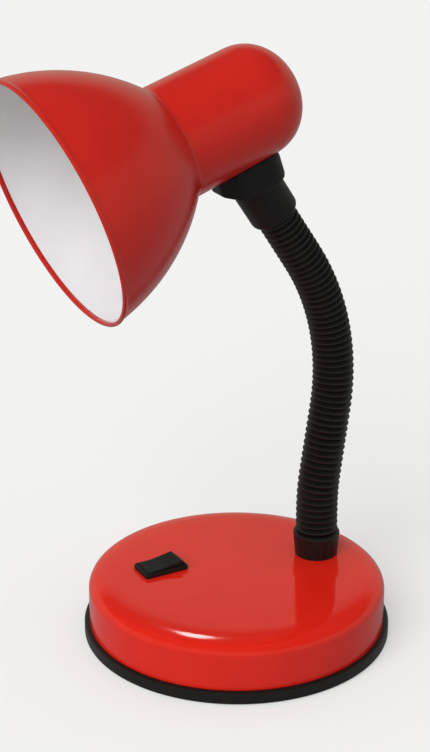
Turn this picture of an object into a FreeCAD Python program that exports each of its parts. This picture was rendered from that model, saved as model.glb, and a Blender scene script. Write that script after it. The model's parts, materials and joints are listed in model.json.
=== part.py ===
# Desk lamp with a round weighted base, a flexible ribbed neck and a drawn steel shade
# Millimetres, +Z up, origin at the centre of the base on the table, the head faces -Y

import FreeCAD
import Part
import math
import os

# Base cover and trim
cover_radius = 70.0
base_height = 28.9
cover_wall = 1.0
shoulder_radius = 8.0
trim_proud = 2.4
trim_top = 6.5
trim_bottom = 0.3
trim_rounding = 1.0
trim_gap = 0.1
trim_lip_width = 4.0
trim_lip_thickness = 1.2

# Base plate, pad, screws and ballast
plate_bottom = 2.2
plate_thickness = 1.0
plate_inset = 1.8
plate_gap = 0.2
pad_inset = 7.0
pad_rounding = 0.6
pad_hole_gap = 1.6
pillar_radius = 4.0
pillar_inset = 16.0
pillar_angles = (30.0, 150.0, 270.0)
screw_radius = 1.95
screw_length = 11.0
screw_head_radius = 3.8
screw_head_thickness = 1.7
screw_slot_width = 1.0
screw_slot_depth = 0.8
tapped_gap = 0.05
ballast_inset = 8.0
ballast_thickness = 10.0
ballast_rounding = 1.5
ballast_hole_gap = 0.6
pocket_left = -33.0
pocket_right = 14.0
pocket_front = -45.0
pocket_back = 22.0
pocket_rounding = 6.0
lead_slot_width = 12.0

# Cable bush in the back of the cover
bush_height = 14.0
bush_radius = 4.4
bush_bore_radius = 3.1
bush_flange_radius = 6.0
bush_flange_thickness = 1.9
bush_rounding = 0.7
bush_length = 6.5
bush_lip = 0.6
bush_lip_length = 2.2
bush_gap = 0.1

# Switch
switch_x = -21.1
switch_y = -29.3
bezel_length = 22.4
bezel_width = 14.0
bezel_height = 2.4
bezel_rounding = 0.5
switch_body_length = 20.9
switch_body_width = 13.0
switch_body_depth = 13.0
switch_cutout_gap = 0.1
switch_window_length = 20.0
switch_window_width = 12.0
switch_well_depth = 8.6
pivot_drop = 0.8
rocker_travel = 14.0
rocker_half_length = 9.2
rocker_waist = 9.4
rocker_end_height = 4.4
rocker_mid_height = 4.0
rocker_side_gap = 0.25
rocker_heel_half = 7.0
rocker_heel_drop = 3.0
rocker_keel_drop = 4.2
rocker_nose_drop = 6.0
rocker_nose_half = 1.0
rocker_nose_rounding = 0.9
rocker_rounding = 0.35
rib_count = 5
rib_width = 0.35
rib_depth = 0.15
rib_spacing = 1.7
rocker_rib_margin = 1.2
trunnion_radius = 1.2
trunnion_gap = 0.05
leaf_length = 13.0
leaf_width = 4.0
leaf_thickness = 0.4
leaf_gap = 0.3
blade_width = 4.8
blade_thickness = 0.8
blade_spacing = 9.0
blade_length = 8.0

# Terminal block and wires in the base
block_width = 20.0
block_length = 12.0
block_height = 10.0
block_back = 18.0
block_groove_width = 1.2
block_groove_depth = 2.5
block_screw_radius = 2.0
block_screw_depth = 1.5
block_screw_places_share = (0.28, 0.72)
wire_radius = 1.1
wire_height = 9.5
wire_exits = (-2.0, 5.0)
wire_bend_share = 0.45

# Neck: route of its centre line, from the top of the base cover
neck_inset = 25.8
foot_run = 24.6
back_bend_radius = 120.0
back_lean = 8.5
back_run = 33.0
front_bend_radius = 112.0
front_lean = 33.0
last_run = 27.0

# Neck sleeve: ribs are counted, radii taper from foot to head
sleeve_lengths = 7
ribs_per_length = 8
sleeve_radius_low = 9.75
sleeve_radius_high = 9.1
rib_rise = 1.0
sleeve_bore_radius = 7.6
rib_places_share = (0.0, 0.22, 0.66, 0.88)
sleeve_insert = 9.5

# Neck core: hollow links with a ball at the foot and a socket at the head
ball_radius = 5.3
ball_gap = 0.3
ball_end = 3.0
ball_mouth_radius = 3.9
ball_mouth_start = 0.5
socket_wall = 1.2
socket_lip_share = 0.36
socket_shoulder_share = 0.75
link_neck_radius = 3.8
link_bore_radius = 2.8
lead_radius = 2.0
lead_bend_radius = 22.0
core_radius = 0.9
core_offset = 1.25
core_bend_radius = 3.2
core_rise = 4.5

# Collar and the fixings under it
collar_height = 12.2
collar_foot_radius = 10.1
collar_top_radius = 11.3
collar_rounding = 1.4
collar_floor = 2.0
collar_gap = 0.1
stem_radius = 5.0
stem_gap = 0.15
stem_below = 8.0
washer_radius = 9.0
washer_thickness = 1.0
head_washer_radius = 8.5
nut_flats = 14.0
nut_thickness = 3.0
nut_chamfer_share = 0.6
fitting_flange_radius = 7.3
fitting_flange_thickness = 1.5

# Head: s runs back along the axis of the shade from the centre of its rim
head_dip_angle = 18.5
stud_place = 89.0
stud_reach = 30.3
shade_wall = 0.8
rim_radius = 57.0
rim_bead_radius = 1.0
bell_depth = 57.6
bell_arc_radius = 94.0
neck_front_radius = 26.0
neck_back_radius = 25.3
neck_end = 100.0
dome_depth = 22.2
dome_fullness_share = 0.58
bell_fillet = 4.0
waist_shift_share = 0.4
stud_hole_gap = 0.4

# Saddle under the head
saddle_toe = 73.0
saddle_heel = 105.4
saddle_heel_slant = 1.6
saddle_half_width = 12.0
saddle_toe_half_width = 5.0
saddle_toe_depth = 7.6
saddle_waist = 80.0
saddle_waist_depth = 10.8
saddle_heel_depth = 10.8
saddle_heel_shoulder_depth = 2.4
saddle_plan_rounding = 10.5
saddle_toe_rounding = 3.8
saddle_toe_edge_rounding = 2.2
saddle_heel_edge_rounding = 3.4
saddle_shoulder_rounding = 1.8
saddle_socket_top_radius = 11.5
saddle_socket_radius = 11.3
saddle_socket_rounding = 1.6
saddle_floor = 3.0
saddle_fit_gap = 0.05

# Fixings in the head
clamp_length = 20.0
clamp_width = 18.0
clamp_height = 2.6
strap_thickness = 1.2
strap_width = 12.0
strap_front = 5.6
strap_back = 17.5
strap_top = 8.0
stud_end = 0.4

# Lampholder and bulb
holder_front = 71.0
holder_ring_radius = 13.2
holder_ring_length = 5.0
holder_ring_rounding = 1.2
holder_radius = 11.3
holder_mid = 96.0
holder_cap_radius = 14.2
holder_back = 104.3
holder_cap_rounding = 1.5
shell_outer_radius = 8.6
shell_inner_radius = 7.9
shell_length = 17.0
shell_front_gap = 2.0
shell_fit_gap = 0.1
insulator_thickness = 2.0
nipple_radius = 5.0
nipple_bore_radius = 3.2
nipple_length = 9.0
nipple_tail = 5.0
holder_nut_thickness = 3.0
bulb_centre = 40.0
bulb_radius = 22.5
bulb_wall = 0.7
bulb_neck_radius = 6.9
bulb_neck_place = 70.5
bulb_shoulder_share = 0.55
bulb_leave_angle = 52.0
cap_radius = 7.0
cap_bead = 0.35
cap_turns = 4
thread_valley_share = 0.2
thread_crest_share = 0.6
cap_end = 89.0
cap_skirt = 3.0
contact_radius = 2.2
contact_place = 91.95
contact_base_radius = 4.8
contact_rounding = 0.5

# How far a cutting shape runs past what it cuts
overrun = 1.0

# Two corners, two places of an edge, or two directions closer than this count as one
same_point = 1e-6
same_place = 1e-3
same_direction = 1e-3

# Places that follow the cover's size
pad_radius = cover_radius - pad_inset
pillar_circle = cover_radius - pillar_inset
ballast_radius = cover_radius - ballast_inset
neck_y = cover_radius - neck_inset

V = FreeCAD.Vector
up = V(0, 0, 1)
right = V(1, 0, 0)
made = {}


def keep(name, shape):
    """Keep a finished sub-part under its node's name, as one solid where it is one"""
    made[name] = shape.Solids[0] if len(shape.Solids) == 1 else shape


def moved(shape, x=0.0, y=0.0, z=0.0):
    """A copy of a shape, shifted"""
    copy = shape.copy()
    copy.translate(V(x, y, z))
    return copy


def frame_at(place, lean):
    """A frame at a place, its Z axis leaning forward from straight up by an angle"""
    return FreeCAD.Placement(place, FreeCAD.Rotation(right, lean))


def put(shape, frame):
    """A copy of a shape, moved from its own frame into the lamp's"""
    copy = shape.copy()
    copy.Placement = frame.multiply(copy.Placement)
    return copy


def rounded_wire(corners, at):
    """A closed wire through corners (u, v, rounding), where at(u, v) is a point in space"""
    starts, mids, ends = [], [], []
    for index, (u, v, rounding) in enumerate(corners):
        before = corners[index - 1]
        after = corners[(index + 1) % len(corners)]
        here = V(u, v, 0)
        to_before = (V(before[0], before[1], 0) - here).normalize()
        to_after = (V(after[0], after[1], 0) - here).normalize()
        half = to_before.getAngle(to_after) / 2
        reach = rounding / math.tan(half)
        middle = here
        if rounding:
            inward = (to_before + to_after).normalize()
            middle = here + inward * (rounding / math.sin(half) - rounding)
        starts.append(here + to_before * reach)
        mids.append(middle)
        ends.append(here + to_after * reach)
    edges = []
    for index, corner in enumerate(corners):
        if corner[2]:
            points = [at(p.x, p.y) for p in (starts[index], mids[index], ends[index])]
            edges.append(Part.Arc(*points).toShape())
        following = starts[(index + 1) % len(corners)]
        if (following - ends[index]).Length > same_point:
            line = Part.LineSegment(at(ends[index].x, ends[index].y), at(following.x, following.y))
            edges.append(line.toShape())
    return Part.Wire(edges)


def turned(corners):
    """A solid of revolution about Z, from corners (radius, height, rounding)"""
    face = Part.Face(rounded_wire(corners, lambda r, z: V(r, 0, z)))
    return face.revolve(V(0, 0, 0), up, 360)


def plate_shape(corners, bottom, thickness):
    """A flat plate from corners (x, y, rounding)"""
    face = Part.Face(rounded_wire(corners, lambda x, y: V(x, y, bottom)))
    return face.extrude(up * thickness)


def side_shape(corners, half_width):
    """A bar across X, from corners (y, z, rounding) of its side view"""
    face = Part.Face(rounded_wire(corners, lambda y, z: V(-half_width, y, z)))
    return face.extrude(right * (2 * half_width))


def ring(outer, inner, bottom, height):
    """A plain ring about Z"""
    body = Part.makeCylinder(outer, height, V(0, 0, bottom))
    bore = Part.makeCylinder(inner, height + 2 * overrun, V(0, 0, bottom - overrun))
    return body.cut(bore)


def hex_nut(flats, bore, bottom, height):
    """A hexagon nut about Z, its corners taken off by a cone at both ends"""
    radius = flats / 2 / math.cos(math.pi / 6)
    corners = []
    for side in range(6):
        angle = side * math.pi / 3
        corners.append((radius * math.cos(angle), radius * math.sin(angle), 0))
    body = plate_shape(corners, bottom, height)
    chamfer = (radius - flats / 2) * nut_chamfer_share
    round_body = turned([
        (0, bottom, 0), (radius - chamfer, bottom, 0), (radius, bottom + chamfer, 0),
        (radius, bottom + height - chamfer, 0), (radius - chamfer, bottom + height, 0),
        (0, bottom + height, 0),
    ])
    hole = Part.makeCylinder(bore, height + 2 * overrun, V(0, 0, bottom - overrun))
    return body.common(round_body).cut(hole)


def tube_along(points, radius, bend):
    """A round bar along straight runs joined by tangent arcs of one radius"""
    edges = []
    last = points[0]
    for before, here, after in zip(points, points[1:], points[2:]):
        to_before = (before - here).normalize()
        to_after = (after - here).normalize()
        half = to_before.getAngle(to_after) / 2
        reach = bend / math.tan(half)
        inward = (to_before + to_after).normalize()
        middle = here + inward * (bend / math.sin(half) - bend)
        start = here + to_before * reach
        end = here + to_after * reach
        edges.append(Part.LineSegment(last, start).toShape())
        edges.append(Part.Arc(start, middle, end).toShape())
        last = end
    edges.append(Part.LineSegment(last, points[-1]).toShape())
    section = Part.Wire(Part.makeCircle(radius, points[0], points[1] - points[0]))
    return Part.Wire(edges).makePipeShell([section], True, False)


def on_circle(circle, angle):
    """A point on a circle about the base's axis"""
    turn = math.radians(angle)
    return circle * math.cos(turn), circle * math.sin(turn)


# Route of the neck

neck_foot = V(0, neck_y, base_height)
route = [
    (foot_run, 0.0),
    (back_bend_radius, -back_lean),
    (back_run, 0.0),
    (front_bend_radius, back_lean + front_lean),
    (last_run, 0.0),
]


def run_length(size, turn):
    """Length of one stretch of the route: a straight run, or a bend of a radius and turn"""
    return size * math.radians(abs(turn)) if turn else size


route_length = sum(run_length(size, turn) for size, turn in route)


def neck_frame(distance):
    """Point and forward lean of the neck's centre line, at a distance from the cover"""
    place, lean, left = neck_foot, 0.0, distance
    for index, (size, turn) in enumerate(route):
        length = run_length(size, turn)
        step = left if index == len(route) - 1 else min(left, length)
        heading = V(0, -math.sin(math.radians(lean)), math.cos(math.radians(lean)))
        if turn:
            angle = math.radians(turn) * step / length
            side = V(0, -heading.z, heading.y) * (1 if turn > 0 else -1)
            place = place + heading * (size * math.sin(abs(angle)))
            place = place + side * (size * (1 - math.cos(angle)))
            lean = lean + math.degrees(angle)
        else:
            place = place + heading * step
        left = left - step
        if left <= 0:
            break
    return place, lean


sleeve_start = collar_height
length_step = (route_length - sleeve_start) / sleeve_lengths
rib_pitch = length_step / ribs_per_length
joint_places = [
    neck_frame(sleeve_start + (index + 0.5) * length_step)[0] for index in range(sleeve_lengths)
]
neck_top, neck_top_lean = neck_frame(route_length)
stud_frame = frame_at(neck_top, front_lean)
stud_up = V(0, -math.sin(math.radians(front_lean)), math.cos(math.radians(front_lean)))


# Frame of the head: X across, Y down from the axis, Z back along the axis

dip = math.radians(head_dip_angle)
head_back = V(0, math.cos(dip), math.sin(dip))
head_down = V(0, math.sin(dip), -math.cos(dip))
neck_taper = (neck_front_radius - neck_back_radius) / (neck_end - bell_depth)


def head_neck_radius(place):
    """Outer radius of the head's neck at a distance behind the rim"""
    return neck_front_radius - neck_taper * (place - bell_depth)


head_origin = (
    neck_top + stud_up * stud_reach - head_back * stud_place
    - head_down * head_neck_radius(stud_place)
)
head_frame = FreeCAD.Placement(head_origin, FreeCAD.Rotation(right, head_dip_angle - 90.0))


def in_head(shape):
    """Put a shape from the head's frame into the lamp's"""
    return put(shape, head_frame)


def base_cover():
    """Drawn dome with holes for the neck, the switch and the cable bush"""
    edge = plate_bottom + plate_thickness + trim_lip_thickness
    outer = turned([
        (0, edge, 0), (cover_radius, edge, 0), (cover_radius, base_height, shoulder_radius),
        (0, base_height, 0),
    ])
    inner_radius = cover_radius - cover_wall
    inner_top = base_height - cover_wall
    inner = turned([
        (0, edge - overrun, 0), (inner_radius, edge - overrun, 0),
        (inner_radius, inner_top, shoulder_radius - cover_wall), (0, inner_top, 0),
    ])
    hole_bottom = base_height - cover_wall - overrun
    hole_height = cover_wall + 2 * overrun
    stem_hole = Part.makeCylinder(stem_radius + stem_gap, hole_height, V(0, neck_y, hole_bottom))
    half_length = switch_body_length / 2 + switch_cutout_gap
    half_width = switch_body_width / 2 + switch_cutout_gap
    cutout = Part.makeBox(
        2 * half_width, 2 * half_length, hole_height,
        V(switch_x - half_width, switch_y - half_length, hole_bottom),
    )
    bush_hole = Part.makeCylinder(
        bush_radius + bush_gap, cover_wall + 3 * overrun,
        V(0, cover_radius - cover_wall - 2 * overrun, bush_height), V(0, 1, 0),
    )
    keep("base_cover", outer.cut(inner).cut(stem_hole).cut(cutout).cut(bush_hole))


def base_trim():
    """Black ring: a wall outside the cover, and a lip between cover and plate"""
    outer = cover_radius + trim_proud
    bore = cover_radius + trim_gap
    lip_bottom = plate_bottom + plate_thickness
    lip_top = lip_bottom + trim_lip_thickness
    recess = cover_radius - plate_inset + plate_gap
    keep("base_trim", turned([
        (recess, trim_bottom, 0), (outer, trim_bottom, trim_rounding),
        (outer, trim_top, trim_rounding), (bore, trim_top, 0), (bore, lip_top, 0),
        (cover_radius - trim_lip_width, lip_top, 0),
        (cover_radius - trim_lip_width, lip_bottom, 0), (recess, lip_bottom, 0),
    ]))


def base_plate():
    """Steel disc that closes the base"""
    plate = Part.makeCylinder(cover_radius - plate_inset, plate_thickness, V(0, 0, plate_bottom))
    for angle in pillar_angles:
        x, y = on_circle(pillar_circle, angle)
        hole = Part.makeCylinder(
            screw_radius + ballast_hole_gap, plate_thickness + 2 * overrun,
            V(x, y, plate_bottom - overrun),
        )
        plate = plate.cut(hole)
    keep("base_plate", plate)


def base_pad():
    """Foam rubber disc under the plate, that the lamp stands on, open round the screws"""
    pad = turned([
        (0, 0, 0), (pad_radius, 0, pad_rounding), (pad_radius, plate_bottom, 0),
        (0, plate_bottom, 0),
    ])
    for angle in pillar_angles:
        x, y = on_circle(pillar_circle, angle)
        hole = Part.makeCylinder(
            screw_head_radius + pad_hole_gap, plate_bottom + 2 * overrun, V(x, y, -overrun)
        )
        pad = pad.cut(hole)
    keep("base_pad", pad)


def pillars_and_screws():
    """Threaded pillars under the cover, and the screws that hold the plate to them"""
    top = base_height - cover_wall
    foot = plate_bottom + plate_thickness
    pillars, screws = [], []
    for angle in pillar_angles:
        x, y = on_circle(pillar_circle, angle)
        pillar = Part.makeCylinder(pillar_radius, top - foot, V(x, y, foot))
        bore = Part.makeCylinder(
            screw_radius + tapped_gap, screw_length + overrun, V(x, y, foot - overrun)
        )
        pillars.append(pillar.cut(bore))
        head_bottom = plate_bottom - screw_head_thickness
        head = turned([
            (0, head_bottom, 0), (screw_head_radius, head_bottom, screw_head_thickness / 2),
            (screw_head_radius, plate_bottom, 0), (0, plate_bottom, 0),
        ])
        shank = Part.makeCylinder(screw_radius, screw_length, V(0, 0, plate_bottom))
        slot = Part.makeBox(
            screw_slot_width, 2 * (screw_head_radius + overrun), screw_slot_depth + overrun,
            V(-screw_slot_width / 2, -screw_head_radius - overrun, head_bottom - overrun),
        )
        screws.append(moved(head.fuse(shank).cut(slot).removeSplitter(), x, y))
    keep("cover_pillars", Part.makeCompound(pillars))
    keep("plate_screws", Part.makeCompound(screws))


def ballast_weight():
    """Cast disc on the plate, open for the switch, the wiring, the cord and the pillars"""
    bottom = plate_bottom + plate_thickness
    top = bottom + ballast_thickness
    weight = turned([
        (0, bottom, 0), (ballast_radius, bottom, 0), (ballast_radius, top, ballast_rounding),
        (0, top, 0),
    ])
    pocket = plate_shape([
        (pocket_left, pocket_front, pocket_rounding), (pocket_right, pocket_front, pocket_rounding),
        (pocket_right, pocket_back, pocket_rounding), (pocket_left, pocket_back, pocket_rounding),
    ], bottom - overrun, ballast_thickness + 2 * overrun)
    slot = Part.makeBox(
        lead_slot_width, ballast_radius, ballast_thickness + 2 * overrun,
        V(-lead_slot_width / 2, pocket_back - pocket_rounding, bottom - overrun),
    )
    weight = weight.cut(pocket).cut(slot)
    for angle in pillar_angles:
        x, y = on_circle(pillar_circle, angle)
        hole = Part.makeCylinder(
            pillar_radius + ballast_hole_gap, ballast_thickness + 2 * overrun,
            V(x, y, bottom - overrun),
        )
        weight = weight.cut(hole)
    keep("ballast_weight", weight)


def cable_bush():
    """Bush in the back of the cover, for the supply cord"""
    wall_inside = cover_radius - cover_wall - bush_lip
    outside = cover_radius + bush_flange_thickness
    inside = wall_inside - bush_length
    body = turned([
        (bush_bore_radius, inside, 0), (bush_radius, inside, 0),
        (bush_radius, wall_inside - bush_lip_length, 0),
        (bush_radius + bush_lip, wall_inside - bush_lip_length / 2, 0),
        (bush_radius + bush_lip, wall_inside, 0), (bush_radius, wall_inside, 0),
        (bush_radius, cover_radius, 0), (bush_flange_radius, cover_radius, 0),
        (bush_flange_radius, outside, bush_rounding), (bush_bore_radius, outside, bush_rounding),
    ])
    frame = FreeCAD.Placement(V(0, 0, bush_height), FreeCAD.Rotation(right, -90))
    keep("cable_bush", put(body, frame))


def bar_box(half_x, half_y, bottom, top):
    """A box centred on the switch"""
    return Part.makeBox(
        2 * half_x, 2 * half_y, top - bottom, V(switch_x - half_x, switch_y - half_y, bottom)
    )


pivot = V(switch_x, switch_y, base_height - pivot_drop)
well_floor = base_height - switch_well_depth


def switch_housing():
    """Housing with its bezel, the well for the rocker and the holes for its trunnions"""
    bezel = plate_shape([
        (x * bezel_width / 2, y * bezel_length / 2, 2 * bezel_rounding)
        for x, y in ((-1, -1), (1, -1), (1, 1), (-1, 1))
    ], base_height, bezel_height)
    bezel.translate(V(switch_x, switch_y, 0))
    rim = [e for e in bezel.Edges if min(v.Z for v in e.Vertexes) > base_height + bezel_height / 2]
    bezel = bezel.makeFillet(bezel_rounding, rim)
    body = bar_box(
        switch_body_width / 2, switch_body_length / 2, base_height - switch_body_depth, base_height
    )
    well = bar_box(
        switch_window_width / 2, switch_window_length / 2, well_floor,
        base_height + bezel_height + overrun,
    )
    bore = Part.makeCylinder(
        trunnion_radius + trunnion_gap, switch_body_width + 2 * overrun,
        pivot - right * (switch_body_width / 2 + overrun), right,
    )
    housing = bezel.fuse(body).cut(well).cut(bore)
    for side in (-1, 1):
        slot = Part.makeBox(
            blade_thickness, blade_width, switch_body_depth,
            V(switch_x - blade_thickness / 2, switch_y + side * blade_spacing / 2 - blade_width / 2,
              well_floor - switch_body_depth),
        )
        housing = housing.cut(slot)
    keep("switch_housing", housing)


def switch_rocker():
    """Rocker with two faces, ridges for the finger, trunnions and a nose below"""
    half_width = switch_window_width / 2 - rocker_side_gap
    side = [(rocker_half_length, rocker_end_height, rocker_rounding), (rocker_waist, 0, 0),
            (rocker_heel_half, -rocker_heel_drop, 0), (rocker_nose_half, -rocker_keel_drop, 0),
            (rocker_nose_half, -rocker_nose_drop, rocker_nose_rounding)]
    corners = [(0, rocker_mid_height, 0)] + side
    corners += [(-y, z, rounding) for y, z, rounding in reversed(side)]
    body = side_shape(corners, half_width)
    tilt = math.degrees(math.atan2(rocker_end_height - rocker_mid_height, rocker_half_length))
    for index in range(rib_count):
        across = (index - (rib_count - 1) / 2) * rib_spacing
        for turn in (tilt, -tilt):
            length = rocker_half_length - 2 * rocker_rib_margin
            start = rocker_rib_margin if turn > 0 else -rocker_rib_margin - length
            groove = Part.makeBox(
                rib_width, length, rib_depth + overrun, V(across - rib_width / 2, start, -rib_depth)
            )
            frame = FreeCAD.Placement(V(0, 0, rocker_mid_height), FreeCAD.Rotation(right, turn))
            body = body.cut(put(groove, frame))
    reach = switch_body_width / 2
    pin = Part.makeCylinder(trunnion_radius, 2 * reach, V(-reach, 0, 0), right)
    frame = FreeCAD.Placement(pivot, FreeCAD.Rotation(right, rocker_travel / 2))
    keep("switch_rocker", put(body.fuse(pin), frame))


def switch_inside():
    """Leaf contact under the rocker's nose, and the two blades of the switch"""
    nose = pivot.z - rocker_nose_drop
    leaf_top = nose - leaf_gap
    leaf = bar_box(leaf_width / 2, leaf_length / 2, leaf_top - leaf_thickness, leaf_top)
    keep("switch_leaf", leaf)
    blades = []
    bottom = base_height - switch_body_depth - blade_length
    for side in (-1, 1):
        blades.append(Part.makeBox(
            blade_thickness, blade_width, leaf_top - leaf_thickness - bottom,
            V(switch_x - blade_thickness / 2, switch_y + side * blade_spacing / 2 - blade_width / 2,
              bottom),
        ))
    keep("switch_terminals", Part.makeCompound(blades))


def terminal_block():
    """Two-way screw connector on the plate"""
    bottom = plate_bottom + plate_thickness
    front = block_back - block_length
    block = Part.makeBox(block_width, block_length, block_height, V(-block_width / 2, front, bottom))
    top = bottom + block_height
    groove = Part.makeBox(
        block_groove_width, block_length + 2 * overrun, block_groove_depth + overrun,
        V(-block_groove_width / 2, front - overrun, top - block_groove_depth),
    )
    block = block.cut(groove)
    for side in (-1, 1):
        for share in block_screw_places_share:
            hole = Part.makeCylinder(
                block_screw_radius, block_screw_depth + overrun,
                V(side * block_width / 4, front + share * block_length, top - block_screw_depth),
            )
            block = block.cut(hole)
    keep("terminal_block", block)


def switch_leads():
    """Two wires from the terminal block to the blades of the switch"""
    front = block_back - block_length
    wires = []
    for side, exit_x in zip((1, -1), wire_exits):
        y = switch_y + side * blade_spacing / 2
        start = V(exit_x, front, wire_height)
        corner = V(exit_x, y, wire_height)
        end = V(switch_x + blade_thickness / 2, y, wire_height)
        shorter = min((corner - start).Length, (end - corner).Length)
        wires.append(tube_along([start, corner, end], wire_radius, wire_bend_share * shorter))
    keep("switch_leads", Part.makeCompound(wires))


def gooseneck_collar():
    """Cup at the foot of the neck, wider at its top, that the sleeve stands in"""
    bore = sleeve_radius_low + collar_gap
    hole = stem_radius + stem_gap
    body = turned([
        (hole, 0, 0), (collar_foot_radius, 0, 0),
        (collar_top_radius, collar_height, collar_rounding), (bore, collar_height, 0),
        (bore, collar_floor, 0), (hole, collar_floor, 0),
    ])
    keep("gooseneck_collar", moved(body, 0, neck_y, base_height))


def socket_sizes(centre):
    """Outer radius, lip and shoulder of a ball socket at a height, open upwards"""
    outer = ball_radius + ball_gap + socket_wall
    lip = centre + (ball_radius + ball_gap) * socket_lip_share
    return outer, lip, centre - outer * socket_shoulder_share


def ball():
    """Ball at the lower end of a link, flat below and flared inside for the lead to bend"""
    body = Part.makeSphere(ball_radius)
    low = Part.makeCylinder(ball_radius, ball_radius, V(0, 0, -ball_end - ball_radius))
    mouth = Part.makeCone(
        ball_mouth_radius, link_bore_radius, ball_end - ball_mouth_start, V(0, 0, -ball_end), up
    )
    return body.cut(low).cut(mouth)


def cut_socket(body, centre):
    """Cut the ball's seat into a body, at a height on the Z axis"""
    return body.cut(Part.makeSphere(ball_radius + ball_gap, V(0, 0, centre)))


def lower_end():
    """Hollow stem with the first ball socket, its washer and its nut"""
    joint = joint_places[0].z
    top_of_floor = base_height + collar_floor
    stem_foot = base_height - cover_wall - stem_below
    outer, lip, shoulder = socket_sizes(joint)
    body = turned([
        (link_bore_radius, stem_foot, 0), (stem_radius, stem_foot, 0),
        (stem_radius, top_of_floor, 0), (fitting_flange_radius, top_of_floor, 0),
        (fitting_flange_radius, top_of_floor + fitting_flange_thickness, 0),
        (stem_radius, top_of_floor + fitting_flange_thickness, 0),
        (stem_radius, shoulder - (outer - stem_radius), 0), (outer, shoulder, 0), (outer, lip, 0),
        (link_bore_radius, lip, 0),
    ])
    body = cut_socket(body, joint)
    keep("lower_end_fitting", moved(body, 0, neck_y, 0))
    under = base_height - cover_wall
    washer = ring(washer_radius, stem_radius + stem_gap, under - washer_thickness, washer_thickness)
    keep("lower_lock_washer", moved(washer, 0, neck_y, 0))
    nut = hex_nut(nut_flats, stem_radius + tapped_gap, under - washer_thickness - nut_thickness,
                  nut_thickness)
    keep("lower_hex_nut", moved(nut, 0, neck_y, 0))


def heading_lean(start, end):
    """Forward lean of the line from one point to another, in degrees"""
    step = end - start
    return math.degrees(math.atan2(-step.y, step.z))


def arm_links():
    """Hollow links between the joints, each a ball below and a socket above"""
    for index in range(sleeve_lengths - 1):
        start, end = joint_places[index], joint_places[index + 1]
        length = (end - start).Length
        outer, lip, shoulder = socket_sizes(length)
        foot = shoulder - (outer - link_neck_radius)
        tube = turned([
            (0, 0, 0), (link_neck_radius, 0, 0), (link_neck_radius, foot, 0),
            (outer, shoulder, 0), (outer, lip, 0), (0, lip, 0),
        ])
        body = cut_socket(tube.fuse(ball()), length)
        bore = Part.makeCylinder(
            link_bore_radius, length + 2 * ball_radius, V(0, 0, -ball_radius - overrun)
        )
        frame = frame_at(start, heading_lean(start, end))
        keep("arm_link_%d" % (index + 1), put(body.cut(bore), frame))


def sleeve_radius(distance):
    """Crest radius of the sleeve at a distance along the neck"""
    share = (distance - sleeve_start) / (route_length - sleeve_start)
    return sleeve_radius_low + (sleeve_radius_high - sleeve_radius_low) * share


def route_circle(distance, radius):
    """A circle about the neck's centre line, its X axis kept across the lamp"""
    place, lean = neck_frame(distance)
    circle = Part.Circle(V(0, 0, 0), up, radius).toShape()
    return Part.Wire(put(circle, frame_at(place, lean)))


def sleeves():
    """Ribbed sleeve of the neck, one length about each joint"""
    for index in range(sleeve_lengths):
        start = sleeve_start + index * length_step
        end = start + length_step
        circles = []
        bores = [route_circle(start - overrun if index else start - sleeve_insert - overrun,
                              sleeve_bore_radius)]
        if index == 0:
            circles.append(route_circle(start - sleeve_insert, sleeve_radius(start) - rib_rise))
        for rib in range(ribs_per_length):
            foot = start + rib * rib_pitch
            crest = sleeve_radius(foot)
            for share, radius in zip(rib_places_share, (crest - rib_rise, crest, crest,
                                                        crest - rib_rise)):
                circles.append(route_circle(foot + share * rib_pitch, radius))
            bores.append(route_circle(foot + rib_pitch / 2, sleeve_bore_radius))
        last = end
        if index == sleeve_lengths - 1:
            last = end + sleeve_insert
        circles.append(route_circle(last, sleeve_radius(end) - rib_rise))
        bores.append(route_circle(last + overrun, sleeve_bore_radius))
        body = Part.makeLoft(circles, True, True)
        bore = Part.makeLoft(bores, True, True)
        keep("neck_sleeve_%d" % (index + 1), body.cut(bore))


def lead_points():
    """Points of the lead's line through the neck: mid-link, joint, mid-link, and so on"""
    half = length_step / 2
    first = joint_places[0] - up * half
    last = joint_places[-1] + stud_up * half
    middles = [first]
    for before, after in zip(joint_places, joint_places[1:]):
        middles.append((before + after) * 0.5)
    middles.append(last)
    return middles


def neck_leads():
    """The lead through the neck, one length about each joint"""
    middles = lead_points()
    for index, joint in enumerate(joint_places):
        before, after = middles[index], middles[index + 1]
        turn = (joint - before).getAngle(after - joint)
        if turn < same_direction:
            heading = after - before
            shape = Part.makeCylinder(lead_radius, heading.Length, before, heading)
        else:
            shape = tube_along([before, joint, after], lead_radius, lead_bend_radius)
        keep("neck_lead_%d" % (index + 1), shape)


def lower_lead():
    """The lead from the terminal block up into the neck"""
    start = V(0, block_back, wire_height)
    corner = V(0, neck_y, wire_height)
    end = joint_places[0] - up * (length_step / 2)
    shorter = min((corner - start).Length, (end - corner).Length)
    room = base_height - cover_wall - stem_below - wire_height
    keep("lower_lead", tube_along([start, corner, end], lead_radius,
                                  min(wire_bend_share * shorter, room)))


def bell_middle(front_radius, back_radius, front, back, arc_radius):
    """Middle point (radius, place) of the arc that bulges out between two ends"""
    chord = math.hypot(front_radius - back_radius, back - front)
    rise = arc_radius - math.sqrt(arc_radius ** 2 - chord ** 2 / 4)
    out_r = (back - front) / chord
    out_s = (front_radius - back_radius) / chord
    return (front_radius + back_radius) / 2 + out_r * rise, (front + back) / 2 + out_s * rise


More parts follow.
